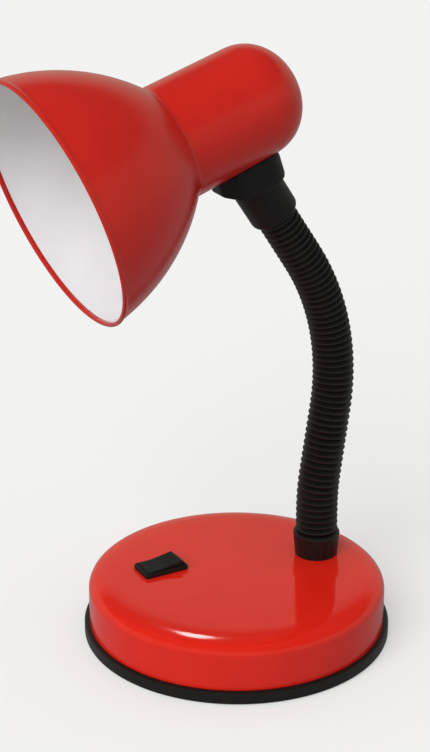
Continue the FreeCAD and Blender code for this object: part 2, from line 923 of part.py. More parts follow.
def head_solid(inset, front):
    """Solid of the shade's form, a wall's thickness smaller where inset is not zero"""
    rim = rim_radius - inset
    waist = neck_front_radius - inset
    end_radius = neck_back_radius - inset
    waist_place = bell_depth - inset * waist_shift_share
    mid_r, mid_s = bell_middle(rim, waist, 0, waist_place, bell_arc_radius - inset)
    edges = []
    if front:
        edges.append(Part.LineSegment(V(0, 0, -front), V(rim, 0, -front)).toShape())
        edges.append(Part.LineSegment(V(rim, 0, -front), V(rim, 0, 0)).toShape())
    else:
        edges.append(Part.LineSegment(V(0, 0, 0), V(rim, 0, 0)).toShape())
    edges.append(Part.Arc(V(rim, 0, 0), V(mid_r, 0, mid_s), V(waist, 0, waist_place)).toShape())
    edges.append(
        Part.LineSegment(V(waist, 0, waist_place), V(end_radius, 0, neck_end)).toShape()
    )
    top = neck_end + dome_depth - inset
    dome = Part.BezierCurve()
    dome.setPoles([
        V(end_radius, 0, neck_end),
        V(end_radius, 0, neck_end + dome_fullness_share * (top - neck_end)),
        V(dome_fullness_share * end_radius, 0, top), V(0, 0, top),
    ])
    edges.append(dome.toShape())
    edges.append(Part.LineSegment(V(0, 0, top), V(0, 0, -front)).toShape())
    solid = Part.Face(Part.Wire(edges)).revolve(V(0, 0, 0), up, 360)
    waist_edges = [
        e for e in solid.Edges
        if not e.Degenerated and e.Closed and abs(e.CenterOfMass.z - waist_place) < same_place
    ]
    return solid.makeFillet(bell_fillet + inset, waist_edges)


def stud_in_head():
    """The stud's frame, seen from the head's own frame"""
    return head_frame.inverse().multiply(stud_frame)


def shade():
    """One drawn shell: bell, neck and domed back, with a rolled rim and the stud's hole"""
    shell = head_solid(0.0, 0.0).cut(head_solid(shade_wall, overrun))
    bead_at = rim_radius - shade_wall / 2
    bead = Part.makeTorus(bead_at, rim_bead_radius, V(0, 0, 0), up)
    hole = Part.makeCylinder(
        stem_radius + stud_hole_gap, stud_reach, V(0, 0, stud_reach - saddle_floor)
    )
    hole = put(hole, stud_in_head())
    keep("shade", in_head(shell.fuse(bead).cut(hole)))


def neck_cone(extra):
    """The head's neck as a solid cone, larger by a gap, for cutting what lies against it"""
    start = bell_depth / 2
    end = neck_end + dome_depth
    return Part.makeCone(
        head_neck_radius(start) + extra, head_neck_radius(end) + extra, end - start,
        V(0, 0, start), up,
    )


def head_saddle():
    """Boot-shaped holder: a long thin toe, a thick rounded heel and the sleeve's socket"""
    base = head_neck_radius(stud_place)
    inside = base / 2
    outline = [
        (saddle_toe, inside, 0), (saddle_toe, base + saddle_toe_depth, saddle_toe_edge_rounding),
        (saddle_waist, base + saddle_waist_depth, saddle_toe_edge_rounding),
        (saddle_heel, base + saddle_heel_depth, saddle_heel_edge_rounding),
        (saddle_heel, base + saddle_heel_shoulder_depth, saddle_shoulder_rounding),
        (saddle_heel - saddle_heel_slant, base, 0), (saddle_heel - saddle_heel_slant, inside, 0),
    ]
    face = Part.Face(rounded_wire(outline, lambda s, y: V(-saddle_half_width, y, s)))
    block = face.extrude(right * (2 * saddle_half_width))
    plan = [
        (-saddle_toe_half_width, saddle_toe, saddle_toe_rounding),
        (saddle_toe_half_width, saddle_toe, saddle_toe_rounding),
        (saddle_half_width, saddle_waist, saddle_toe_rounding),
        (saddle_half_width, saddle_heel, saddle_plan_rounding),
        (-saddle_half_width, saddle_heel, saddle_plan_rounding),
        (-saddle_half_width, saddle_waist, saddle_toe_rounding),
    ]
    plan_face = Part.Face(rounded_wire(plan, lambda x, s: V(x, inside, s)))
    column = plan_face.extrude(V(0, base + 2 * saddle_heel_depth, 0))
    flange = block.common(column)
    socket = turned([
        (0, 0, 0), (saddle_socket_radius, 0, saddle_socket_rounding),
        (saddle_socket_top_radius, stud_reach, 0), (0, stud_reach, 0),
    ])
    body = flange.fuse(put(socket, stud_in_head())).cut(neck_cone(saddle_fit_gap))
    sleeve_bore = Part.makeCylinder(
        sleeve_radius_high + collar_gap, sleeve_insert + overrun + collar_gap, V(0, 0, -overrun)
    )
    stem_bore = Part.makeCylinder(stem_radius + stem_gap, 2 * stud_reach)
    for cutter in (sleeve_bore, stem_bore):
        body = body.cut(put(cutter, stud_in_head()))
    keep("head_saddle", in_head(body))


clamp_top = stud_reach + shade_wall + clamp_height
strap_level = clamp_top + strap_thickness
washer_level = strap_level + washer_thickness
nut_level = washer_level + nut_thickness


def upper_end():
    """Ball, flange and hollow stud at the head end of the neck, with washer and nut"""
    half = length_step / 2
    flange_bottom = sleeve_insert + collar_gap - fitting_flange_thickness
    body = turned([
        (0, -half, 0), (link_neck_radius, -half, 0), (link_neck_radius, flange_bottom, 0),
        (fitting_flange_radius, flange_bottom, 0),
        (fitting_flange_radius, sleeve_insert + collar_gap, 0),
        (stem_radius, sleeve_insert + collar_gap, 0), (stem_radius, nut_level + stud_end, 0),
        (0, nut_level + stud_end, 0),
    ])
    body = body.fuse(moved(ball(), 0, 0, -half))
    bore = Part.makeCylinder(
        link_bore_radius, half + nut_level + ball_radius + 3 * overrun,
        V(0, 0, -half - ball_radius - overrun),
    )
    keep("upper_end_fitting", put(body.cut(bore), stud_frame))
    washer = ring(head_washer_radius, stem_radius + stem_gap, strap_level, washer_thickness)
    keep("head_lock_washer", put(washer, stud_frame))
    nut = hex_nut(nut_flats, stem_radius + tapped_gap, washer_level, nut_thickness)
    keep("head_nut", put(nut, stud_frame))


def head_clamp():
    """Block inside the head's neck, round below and square to the stud above"""
    block = Part.makeBox(
        clamp_width, clamp_length, clamp_top, V(-clamp_width / 2, -clamp_length / 2, 0)
    )
    block = put(block, stud_in_head())
    inner_neck = neck_cone(-shade_wall - saddle_fit_gap)
    bore = put(Part.makeCylinder(stem_radius + stem_gap, 2 * stud_reach), stud_in_head())
    keep("head_clamp", in_head(block.common(inner_neck).cut(bore)))


def lampholder_bracket():
    """Bent strap: one leg under the stud's nut, the other behind the lampholder"""
    leg = Part.makeBox(
        strap_width, strap_front + strap_back, strap_thickness,
        V(-strap_width / 2, -strap_front, clamp_top),
    )
    leg = put(leg, stud_in_head())
    tail = stud_in_head().multVec(V(0, strap_back, clamp_top + strap_thickness / 2))
    upright = Part.makeBox(
        strap_width, tail.y + strap_thickness + strap_top, strap_thickness,
        V(-strap_width / 2, -strap_top, holder_back),
    )
    hole = put(Part.makeCylinder(stem_radius + stem_gap, 2 * stud_reach), stud_in_head())
    nipple_hole = Part.makeCylinder(
        nipple_radius + stem_gap, strap_thickness + 2 * overrun, V(0, 0, holder_back - overrun)
    )
    keep("lampholder_bracket", in_head(leg.fuse(upright).cut(hole).cut(nipple_hole)))


def lampholder():
    """Body, front ring, cap, threaded shell, centre contact, nipple and nut"""
    well = shell_outer_radius + shell_fit_gap
    shell_front = holder_front + shell_front_gap
    shell_back = shell_front + shell_length
    ring_back = holder_front + holder_ring_length
    body = turned([
        (well, ring_back, 0), (holder_radius, ring_back, 0), (holder_radius, holder_mid, 0),
        (nipple_radius, holder_mid, 0), (nipple_radius, shell_back + 2 * insulator_thickness, 0),
        (well, shell_back + 2 * insulator_thickness, 0),
    ])
    keep("lampholder_body", in_head(body))
    front_ring = turned([
        (well, holder_front, 0), (holder_ring_radius, holder_front, holder_ring_rounding),
        (holder_ring_radius, ring_back, 0), (well, ring_back, 0),
    ])
    keep("lampholder_ring", in_head(front_ring))
    cap = turned([
        (nipple_radius + tapped_gap, holder_mid, 0), (holder_cap_radius, holder_mid, 0),
        (holder_cap_radius, holder_back, holder_cap_rounding),
        (nipple_radius + tapped_gap, holder_back, 0),
    ])
    keep("lampholder_cap", in_head(cap))
    shell = turned([
        (shell_inner_radius, shell_front, 0), (shell_outer_radius, shell_front, 0),
        (shell_outer_radius, shell_back, 0), (shell_inner_radius, shell_back, 0),
    ])
    keep("lampholder_shell", in_head(shell))
    disc_bottom = shell_back + insulator_thickness
    disc = Part.makeCylinder(well - shell_fit_gap, insulator_thickness, V(0, 0, disc_bottom))
    keep("centre_contact", in_head(disc))
    nipple = ring(nipple_radius, nipple_bore_radius, holder_back - nipple_tail,
                  nipple_length)
    keep("holder_nipple", in_head(nipple))
    nut = hex_nut(nut_flats, nipple_radius + tapped_gap, holder_back + strap_thickness,
                  holder_nut_thickness)
    keep("holder_nut", in_head(nut))


def bulb():
    """Round bulb: glass with its neck, ribbed cap and end contact"""
    glass = bulb_glass_solid(0.0).cut(bulb_glass_solid(bulb_wall))
    keep("bulb_glass", in_head(glass))
    thread_start = bulb_neck_place + cap_skirt
    turn = (cap_end - thread_start) / cap_turns
    corners = [(0, bulb_neck_place, 0), (cap_radius, bulb_neck_place, 0)]
    for index in range(cap_turns):
        foot = thread_start + index * turn
        corners.append((cap_radius - cap_bead, foot + turn * thread_valley_share, 0))
        corners.append((cap_radius + cap_bead, foot + turn * thread_crest_share, 0))
    corners.append((cap_radius - cap_bead, cap_end, 0))
    corners.append((contact_base_radius, cap_end + cap_bead, 0))
    corners.append((0, cap_end + cap_bead, 0))
    keep("bulb_cap", in_head(turned(corners)))
    foot = cap_end + cap_bead
    contact = turned([
        (0, foot, 0), (contact_base_radius - cap_bead, foot, 0),
        (contact_radius, contact_place, contact_rounding), (0, contact_place, 0),
    ])
    keep("bulb_contact", in_head(contact))


def bulb_glass_solid(inset):
    """Round bulb and its neck as one turned solid"""
    radius = bulb_radius - inset
    neck = bulb_neck_radius - inset
    front = bulb_centre - radius
    angle = math.radians(bulb_leave_angle)
    leave = V(radius * math.cos(angle), 0, bulb_centre + radius * math.sin(angle))
    tangent = V(-math.sin(angle), 0, math.cos(angle))
    end = V(neck, 0, bulb_neck_place)
    reach = (end - leave).Length * bulb_shoulder_share
    curve = Part.BezierCurve()
    curve.setPoles([leave, leave + tangent * reach, end - up * reach, end])
    tip = V(0, 0, front)
    edges = [
        Part.Arc(tip, V(radius, 0, bulb_centre), leave).toShape(),
        curve.toShape(),
        Part.LineSegment(end, V(0, 0, bulb_neck_place)).toShape(),
        Part.LineSegment(V(0, 0, bulb_neck_place), tip).toShape(),
    ]
    return Part.Face(Part.Wire(edges)).revolve(V(0, 0, 0), up, 360)


def head_leads():
    """The lead through the stud, and its two cores to the lampholder's cap"""
    top = nut_level + stud_end
    keep("upper_lead", put(Part.makeCylinder(lead_radius, top), stud_frame))
    to_head = stud_in_head()
    cores = []
    for side in (-1, 1):
        start = to_head.multVec(V(side * core_offset, 0, top))
        heading = (start - to_head.multVec(V(side * core_offset, 0, 0))).normalize()
        corner = start + heading * core_rise
        end = V(corner.x, corner.y, holder_mid)
        cores.append(tube_along([start, corner, end], core_radius, core_bend_radius))
    keep("head_cores", in_head(Part.makeCompound(cores)))


for build in (
    base_cover, base_trim, base_plate, base_pad, pillars_and_screws, ballast_weight, cable_bush,
    switch_housing, switch_rocker, switch_inside, terminal_block, switch_leads, gooseneck_collar,
    lower_end, arm_links, sleeves, neck_leads, lower_lead, shade, head_saddle, upper_end,
    head_clamp, lampholder_bracket, lampholder, bulb, head_leads,
):
    build()

os.makedirs("parts", exist_ok=True)
for name, shape in made.items():
    shape.exportStep("parts/%s.step" % name)
    print("%-20s %s solids %d volume %.1f valid %s" % (
        name, shape.ShapeType, len(shape.Solids), shape.Volume, shape.isValid()))
print("joints", [(round(p.y, 2), round(p.z, 2)) for p in joint_places])
print("neck top", neck_top, "head", head_origin, "rib pitch", round(rib_pitch, 3))
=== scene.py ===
# Looks of the desk lamp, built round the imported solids
# Sizes are in millimetres and angles in degrees unless said otherwise, and meshes in metres

import json
import math

import bmesh
import bpy
from mathutils import Matrix, Vector


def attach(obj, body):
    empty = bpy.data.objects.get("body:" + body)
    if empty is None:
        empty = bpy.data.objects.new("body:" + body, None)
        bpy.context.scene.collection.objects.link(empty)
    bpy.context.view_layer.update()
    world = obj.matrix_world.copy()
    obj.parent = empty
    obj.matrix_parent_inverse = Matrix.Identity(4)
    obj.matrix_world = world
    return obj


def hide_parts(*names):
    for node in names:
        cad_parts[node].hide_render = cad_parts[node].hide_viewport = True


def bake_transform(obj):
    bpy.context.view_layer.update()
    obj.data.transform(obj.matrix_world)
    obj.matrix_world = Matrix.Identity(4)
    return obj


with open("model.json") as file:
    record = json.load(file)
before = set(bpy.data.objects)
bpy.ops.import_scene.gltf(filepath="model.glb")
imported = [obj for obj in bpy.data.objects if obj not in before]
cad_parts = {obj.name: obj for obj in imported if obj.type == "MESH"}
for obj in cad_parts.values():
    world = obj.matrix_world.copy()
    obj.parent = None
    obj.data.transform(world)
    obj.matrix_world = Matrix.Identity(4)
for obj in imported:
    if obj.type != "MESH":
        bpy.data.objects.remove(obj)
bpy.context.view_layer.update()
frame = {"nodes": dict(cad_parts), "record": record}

mm = 0.001

# Base cover and trim. The cover's crown is flat, then come two arcs (radius, slope at the end)
# and a shoulder
cover_radius = 70.0
base_height = 28.9
cover_wall = 1.0
crown_start = 54.0
crown_arcs = ((120.0, 3.1), (26.0, 16.0))
cover_edge = 4.4
trim_proud = 2.4
trim_top = 6.5
trim_bottom = 0.3
trim_rounding = 1.0
trim_gap = 0.1
trim_lip_width = 4.0
trim_lip_top = 4.4
trim_lip_bottom = 3.2
trim_recess_radius = 68.4

# Neck: route of its centre line from the top of the base cover, in straight lengths
# (length, 0) and arcs (radius, turn)
neck_y = 44.2
route = ((24.6, 0.0), (120.0, -8.5), (33.0, 0.0), (112.0, 41.5), (27.0, 0.0))
sleeve_start = 12.2
sleeve_lengths = 7
ribs_per_length = 8
sleeve_radius_low = 10.05
sleeve_radius_high = 9.35
rib_rise = 1.5
rib_fullness_share = 1.25
points_per_rib = 14
sleeve_bore_radius = 7.6
sleeve_insert = 9.5
insert_radius = 8.2
around_sleeve = 72
sleeve_sharp_angle = 60.0

# Collar at the foot of the neck, with a lip that closes it to the sleeve
collar_height = 12.2
collar_sunk = 0.5
collar_foot_radius = 10.1
collar_top_radius = 11.3
collar_rounding = 1.4
collar_floor = 2.0
collar_bore_radius = 9.85
collar_lip_radius = 8.6
collar_lip_depth = 1.6
collar_lip_rounding = 0.3
stem_hole_radius = 5.15
around_collar = 96

# Head: places run back along the axis of the shade from the centre of its rim
rim_centre_y = -90.1369
rim_centre_z = 225.4094
head_dip = 18.5
shade_wall = 0.8
rim_radius = 57.0
rim_bead_radius = 1.0
rim_bead_start = 50.0
rim_bead_turn = 20.0
rim_bead_points = 15
skin_start = 1.0
skin_inner_start = 0.6
skin_gap = 0.02
bell_depth = 57.6
bell_arc_radius = 94.0
neck_front_radius = 26.0
neck_back_radius = 25.3
neck_end = 100.0
dome_depth = 22.2
dome_fullness_share = 0.58
bell_fillet = 4.0
fillet_steps = 12
fillet_clearance_share = 1.15
waist_shift_share = 0.4
shade_steps = 48
around_shade = 256
shade_sharp_angle = 50.0

# Switch
switch_x = -21.1
switch_y = -29.3
bezel_length = 22.4
bezel_width = 14.0
bezel_height = 2.4
bezel_rounding = 0.7
bezel_corner = 1.2
window_length = 20.0
window_width = 12.0
window_rounding = 0.3
window_corner = 0.5
switch_body_length = 20.9
switch_body_width = 13.0
switch_body_depth = 13.0
switch_well_depth = 8.6
cutout_gap = 0.1

# Holes in the base cover besides the switch's
hole_cutter_reach = 6.0
around_hole = 48
bush_height = 14.0
bush_hole_radius = 4.5

# Moulded skins: grid of the rounded copies, and how often they are smoothed
saddle_grid = 0.45
rocker_grid = 0.2
saddle_smooth_rounds = 5
rocker_smooth_rounds = 2

# Bulb
bulb_centre = 40.0
bulb_radius = 22.5
bulb_wall = 0.7
bulb_neck_radius = 6.9
bulb_neck_place = 70.5
bulb_shoulder_share = 0.55
bulb_leave_angle = 52.0
bulb_steps = 48
bulb_shoulder_steps = 24
around_bulb = 128

# Fineness of the meshes elsewhere: points round the base, steps of a rounding, the angle
# from which an edge shows as sharp, and a length that counts as nothing
around_base = 192
corner_steps = 8
bar_corner_steps = 6
window_edge_steps = 4
crown_steps = 12
shoulder_steps = 24
sharp_angle = 35.0
tiny = 1e-6


def swept(centre, first, last, steps):
    """Points of an arc about a centre, from one arm to the other"""
    turn = first.angle(last)
    points = []
    for step in range(steps + 1):
        share = step / steps
        points.append(centre + (first * math.sin((1 - share) * turn)
                                + last * math.sin(share * turn)) / math.sin(turn))
    return points


def bent(poles, steps):
    """Points of a cubic curve by its four poles, without the first point"""
    points = []
    for step in range(1, steps + 1):
        t = step / steps
        points.append(poles[0] * (1 - t) ** 3 + poles[1] * 3 * t * (1 - t) ** 2
                      + poles[2] * 3 * t * t * (1 - t) + poles[3] * t ** 3)
    return points


def rounded(corners):
    """Points of a closed outline from corners (u, v, rounding)"""
    points = []
    for index, (u, v, rounding) in enumerate(corners):
        here = Vector((u, v))
        if not rounding:
            points.append(here)
            continue
        to_before = (Vector(corners[index - 1][:2]) - here).normalized()
        to_after = (Vector(corners[(index + 1) % len(corners)][:2]) - here).normalized()
        half = to_before.angle(to_after) / 2
        centre = here + (to_before + to_after).normalized() * (rounding / math.sin(half))
        first = here + to_before * (rounding / math.tan(half)) - centre
        last = here + to_after * (rounding / math.tan(half)) - centre
        points += swept(centre, first, last, corner_steps)
    return points


def piece_from(name, vertices, faces, place=Matrix(), sharp=sharp_angle):
    """A mesh piece from points in millimetres, smooth but for its sharp edges"""
    mesh = bpy.data.meshes.new(name)
    mesh.from_pydata([(place @ Vector(v)) * mm for v in vertices], [], faces)
    work = bmesh.new()
    work.from_mesh(mesh)
    bmesh.ops.recalc_face_normals(work, faces=work.faces)
    work.to_mesh(mesh)
    work.free()
    mesh.shade_smooth()
    mesh.set_sharp_from_angle(angle=math.radians(sharp))
    piece = bpy.data.objects.new(name, mesh)
    bpy.context.scene.collection.objects.link(piece)
    return piece


def lathe(name, outline, place=Matrix(), segments=around_base, sharp=sharp_angle):
    """A closed piece turned about Z from an outline of (radius, height) points"""
    vertices, rows = [], []
    for r, z in outline:
        if r < tiny:
            rows.append([len(vertices)] * segments)
            vertices.append((0, 0, z))
        else:
            rows.append(list(range(len(vertices), len(vertices) + segments)))
            for index in range(segments):
                angle = 2 * math.pi * index / segments
                vertices.append((r * math.cos(angle), r * math.sin(angle), z))
    faces = []
    for row, following in zip(rows, rows[1:] + rows[:1]):
        for index in range(segments):
            after = (index + 1) % segments
            corners = [row[index], row[after], following[after], following[index]]
            face = list(dict.fromkeys(corners))
            if len(face) > 2:
                faces.append(face)
    return piece_from(name, vertices, faces, place, sharp)


def cut(piece, *cutters):
    """Cut other pieces out of one, and delete them"""
    for cutter in cutters:
        change = piece.modifiers.new("cut", "BOOLEAN")
        change.operation = "DIFFERENCE"
        change.solver = "EXACT"
        change.object = cutter
    bpy.context.view_layer.update()
    graph = bpy.context.evaluated_depsgraph_get()
    mesh = bpy.data.meshes.new_from_object(piece.evaluated_get(graph))
    piece.modifiers.clear()
    old = piece.data
    piece.data = mesh
    bpy.data.meshes.remove(old)
    for cutter in cutters:
        bpy.data.objects.remove(cutter)
    piece.data.shade_smooth()
    piece.data.set_sharp_from_angle(angle=math.radians(sharp_angle))


def box_piece(name, low, high):
    """A plain box, for cutting"""
    vertices = [(x, y, z) for x in (low[0], high[0]) for y in (low[1], high[1])
                for z in (low[2], high[2])]
    faces = [(0, 1, 3, 2), (4, 6, 7, 5), (0, 4, 5, 1), (2, 3, 7, 6), (0, 2, 6, 4), (1, 5, 7, 3)]
    return piece_from(name, vertices, faces)


def rod_piece(name, radius, place):
    """A rod about the middle of a hole, for cutting"""
    return lathe(name, [(0, -hole_cutter_reach), (radius, -hole_cutter_reach),
                        (radius, hole_cutter_reach), (0, hole_cutter_reach)], place, around_hole)


def ring_faces(rings, points):
    """Faces of a tube through closed rings of so many points, its last ring joined to its first"""
    faces = []
    for row in range(rings):
        following = (row + 1) % rings
        for step in range(points):
            after = (step + 1) % points
            faces.append((row * points + step, row * points + after,
                          following * points + after, following * points + step))
    return faces


def bar_outline(half_x, half_y, corner):
    """Points round a bar with rounded corners"""
    points = []
    for index, (side_x, side_y) in enumerate(((1, 1), (-1, 1), (-1, -1), (1, -1))):
        for step in range(bar_corner_steps + 1):
            angle = math.pi / 2 * (index + step / bar_corner_steps)
            points.append((side_x * (half_x - corner) + corner * math.cos(angle),
                           side_y * (half_y - corner) + corner * math.sin(angle)))
    return points


def bar_frame(name, rings, place):
    """A closed frame through rings (half_x, half_y, corner, height)"""
    vertices = []
    for half_x, half_y, corner, height in rings:
        vertices += [(x, y, height) for x, y in bar_outline(half_x, half_y, corner)]
    faces = ring_faces(len(rings), len(vertices) // len(rings))
    return piece_from(name, vertices, faces, place)


def moulded(name, node, grid, rounds):
    """A piece in a solid's shape, its edges rounded as a moulding's are"""
    mesh = bpy.data.meshes.new(name)
    work = bmesh.new()
    work.from_mesh(frame["nodes"][node].data)
    work.transform(frame["nodes"][node].matrix_world)
    bmesh.ops.remove_doubles(work, verts=work.verts, dist=tiny)
    work.to_mesh(mesh)
    work.free()
    mesh.materials.clear()
    piece = bpy.data.objects.new(name, mesh)
    bpy.context.scene.collection.objects.link(piece)
    remesh = piece.modifiers.new("grid", "REMESH")
    remesh.mode = "VOXEL"
    remesh.voxel_size = grid * mm
    smooth = piece.modifiers.new("smooth", "SMOOTH")
    smooth.iterations = rounds
    bpy.context.view_layer.update()
    graph = bpy.context.evaluated_depsgraph_get()
    piece.data = bpy.data.meshes.new_from_object(piece.evaluated_get(graph))
    piece.modifiers.clear()
    bpy.data.meshes.remove(mesh)
    piece.data.shade_smooth()
    return piece


# Route of the neck


def route_point(distance):
    """Point and forward lean of the neck's centre line, at a distance from the cover"""
    place, lean, left = Vector((0, neck_y, base_height)), 0.0, distance
    for index, (size, turn) in enumerate(route):
        length = size * math.radians(abs(turn)) if turn else size
        step = left if index == len(route) - 1 else min(left, length)
        heading = Vector((0, -math.sin(lean), math.cos(lean)))
        if turn:
            angle = math.radians(turn) * step / length
            side = Vector((0, -heading.z, heading.y)) * math.copysign(1, turn)
            place = place + heading * size * math.sin(abs(angle))
            place = place + side * size * (1 - math.cos(angle))
            lean += angle
        else:
            place = place + heading * step
        left -= step
        if left <= 0:
            break
    return place, lean


route_length = sum(size * math.radians(abs(turn)) if turn else size for size, turn in route)

# Lengths of the sleeve, the joints in their middles, and the middles between the joints

length_step = (route_length - sleeve_start) / sleeve_lengths
rib_pitch = length_step / ribs_per_length
joints = [route_point(sleeve_start + (index + 0.5) * length_step)[0]
          for index in range(sleeve_lengths)]
front_lean = route_point(route_length)[1]
stud_up = Vector((0, -math.sin(front_lean), math.cos(front_lean)))
middles = [joints[0] - Vector((0, 0, length_step / 2))]
middles += [(a + b) / 2 for a, b in zip(joints, joints[1:])]
middles += [joints[-1] + stud_up * length_step / 2]

# Place of the head

dip = math.radians(head_dip)
head_place = (Matrix.Translation((0, rim_centre_y, rim_centre_z))
              @ Matrix.Rotation(dip - math.pi / 2, 4, "X"))


# Materials

screen_white = 255
screen_foot_slope = 12.92
screen_foot_end = 0.04045
screen_offset = 0.055
screen_power = 2.4


def linear(red, green, blue):
    """The shader's colour for one given as it shows on a screen"""
    values = []
    for value in (red / screen_white, green / screen_white, blue / screen_white):
        if value <= screen_foot_end:
            values.append(value / screen_foot_slope)
        else:
            values.append(((value + screen_offset) / (1 + screen_offset)) ** screen_power)
    return (*values, 1.0)


def noise(tree, scale, detail, stretch):
    """A noise pattern in the piece's own space, at a scale per metre"""
    place = tree.nodes.new("ShaderNodeTexCoord")
    mapping = tree.nodes.new("ShaderNodeMapping")
    mapping.inputs["Scale"].default_value = stretch
    pattern = tree.nodes.new("ShaderNodeTexNoise")
    pattern.inputs["Scale"].default_value = scale
    pattern.inputs["Detail"].default_value = detail
    tree.links.new(place.outputs["Object"], mapping.inputs["Vector"])
    tree.links.new(mapping.outputs["Vector"], pattern.inputs["Vector"])
    return pattern.outputs["Fac"]


def ramp(tree, value, low, high):
    """A value turned into a colour between two"""
    node = tree.nodes.new("ShaderNodeValToRGB")
    for element, position, colour in zip(node.color_ramp.elements, ramp_ends_share, (low, high)):
        element.position = position
        element.color = colour
    tree.links.new(value, node.inputs["Fac"])
    return node.outputs["Color"]


def spread(tree, value, low, high):
    """A value turned into a number between two"""
    node = tree.nodes.new("ShaderNodeMapRange")
    node.inputs["To Min"].default_value = low
    node.inputs["To Max"].default_value = high
    tree.links.new(value, node.inputs["Value"])
    return node.outputs["Result"]


def bump(tree, shader, value, depth):
    """A relief of a depth in millimetres on the shader's surface"""
    node = tree.nodes.new("ShaderNodeBump")
    node.inputs["Distance"].default_value = depth * mm
    tree.links.new(value, node.inputs["Height"])
    tree.links.new(node.outputs["Normal"], shader.inputs["Normal"])


def plain_material(name, darker, paler, roughness, spots, relief, grains,
                   metal=0.0, specular=0.5, stretch=(1, 1, 1)):
    """A material with a little variation in colour and gloss, and a fine relief"""
    material = bpy.data.materials.new(name)
    material.use_nodes = True
    tree = material.node_tree
    shader = tree.nodes["Principled BSDF"]
    pattern = noise(tree, spots, colour_detail, stretch)
    tree.links.new(ramp(tree, pattern, linear(*darker), linear(*paler)),
                   shader.inputs["Base Color"])
    tree.links.new(spread(tree, pattern, *roughness), shader.inputs["Roughness"])
    shader.inputs["Metallic"].default_value = metal
    shader.inputs["Specular IOR Level"].default_value = specular
    bump(tree, shader, noise(tree, grains, relief_detail, stretch), relief)
    return material


# Finishes: colours as on a screen, spots of colour and grains of the relief per metre
colour_detail = 3.0
relief_detail = 2.0
ramp_ends_share = (0.3, 0.7)
finishes = {
    "red_enamel": dict(darker=(211, 32, 19), paler=(216, 35, 21), roughness=(0.08, 0.11),
                       spots=60.0, relief=0.003, grains=350.0, specular=0.4),
    # The head's red is the same enamel as the base's, made a little darker as painted shade
    "red_enamel_head_shaded": dict(darker=(192, 29, 18), paler=(197, 32, 20), roughness=(0.22, 0.28),
                            spots=60.0, relief=0.003, grains=350.0, specular=0.35),
    "white_enamel": dict(darker=(224, 223, 224), paler=(230, 229, 229), roughness=(0.28, 0.36),
                         spots=60.0, relief=0.006, grains=500.0),
    "black_satin": dict(darker=(17, 16, 15), paler=(22, 21, 20), roughness=(0.34, 0.44),
                        spots=300.0, relief=0.02, grains=2500.0, specular=0.3),
    "black_matt": dict(darker=(13, 12, 12), paler=(18, 17, 16), roughness=(0.42, 0.54),
                       spots=300.0, relief=0.03, grains=2000.0, specular=0.22),
    "black_fluted": dict(darker=(16, 15, 14), paler=(24, 23, 22), roughness=(0.36, 0.48),
                         spots=700.0, relief=0.12, grains=900.0, specular=0.3,
                         stretch=(1, 1, 0.05)),
    "black_hose": dict(darker=(16, 15, 15), paler=(22, 21, 20), roughness=(0.42, 0.55),
                       spots=250.0, relief=0.03, grains=1800.0, specular=0.4),
    "black_foam": dict(darker=(28, 28, 28), paler=(40, 40, 40), roughness=(0.75, 0.9),
                       spots=1500.0, relief=0.25, grains=2500.0),
    "black_sheath": dict(darker=(25, 25, 25), paler=(33, 33, 33), roughness=(0.4, 0.5),
                         spots=400.0, relief=0.01, grains=1500.0),
    "zinc_plate": dict(darker=(190, 190, 186), paler=(205, 205, 202), roughness=(0.28, 0.4),
                       spots=150.0, relief=0.004, grains=3000.0, metal=1.0),
    "cast_iron": dict(darker=(52, 50, 49), paler=(66, 63, 61), roughness=(0.6, 0.8),
                      spots=500.0, relief=0.15, grains=900.0, metal=0.6),
    "brass": dict(darker=(198, 160, 92), paler=(212, 176, 108), roughness=(0.2, 0.32),
                  spots=200.0, relief=0.004, grains=1500.0, metal=1.0),
    "natural_plastic": dict(darker=(216, 214, 206), paler=(224, 222, 214), roughness=(0.4, 0.5),
                            spots=400.0, relief=0.01, grains=1500.0),
    "cap_metal": dict(darker=(196, 196, 194), paler=(212, 212, 210), roughness=(0.22, 0.34),
                      spots=250.0, relief=0.004, grains=1500.0, metal=1.0),
    "bulb_frost": dict(darker=(236, 236, 232), paler=(244, 244, 241), roughness=(0.22, 0.28),
                       spots=80.0, relief=0.003, grains=600.0),
}
made = {name: plain_material(name, **finish) for name, finish in finishes.items()}

# Frosted glass of the bulb lets some light through
frost_through_share = 0.25
frost_scatter_share = 0.15
frost_scatter_reach = 10.0
frost_scatter_scale = 0.2
frost_shader = made["bulb_frost"].node_tree.nodes["Principled BSDF"]
frost_shader.inputs["Transmission Weight"].default_value = frost_through_share
frost_shader.inputs["Subsurface Weight"].default_value = frost_scatter_share
frost_shader.inputs["Subsurface Radius"].default_value = (frost_scatter_reach * mm,) * 3
frost_shader.inputs["Subsurface Scale"].default_value = frost_scatter_scale

# Finish of each solid by its slot
slot_finishes = {
    "red_enamel": "red_enamel", "white_enamel": "white_enamel", "black_plastic": "black_satin",
    "black_rubber": "black_hose", "lead_sheath": "black_sheath", "plated_steel": "zinc_plate",
    "cast_weight": "cast_iron", "brass": "brass", "white_plastic": "natural_plastic",
    "bulb_glass": "bulb_frost", "bulb_cap": "cap_metal",
}
for part in frame["record"]["subparts"]:
    node = frame["nodes"][part["node"]]
    node.data.materials.clear()
    node.data.materials.append(made[slot_finishes[part["material_slot"]]])
frame["nodes"]["base_pad"].data.materials[0] = made["black_foam"]


def dress(piece, body, finish, slot, *nodes):
    """Give a piece its finish and, unless None, its body, and hide the nodes that it stands for; the
    slot is not used
    """
    piece.data.materials.clear()
    piece.data.materials.append(made[finish])
    if body:
        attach(piece, body)
    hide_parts(*nodes)


# Base cover


def arc_onward(place, size, slope, end, steps):
    """Points of an arc that goes on from a place, its slope growing from one angle to another"""
    points = []
    for step in range(1, steps + 1):
        angle = slope + (end - slope) * step / steps
        points.append(place + size * Vector((math.sin(angle) - math.sin(slope),
                                             math.cos(angle) - math.cos(slope))))
    return points


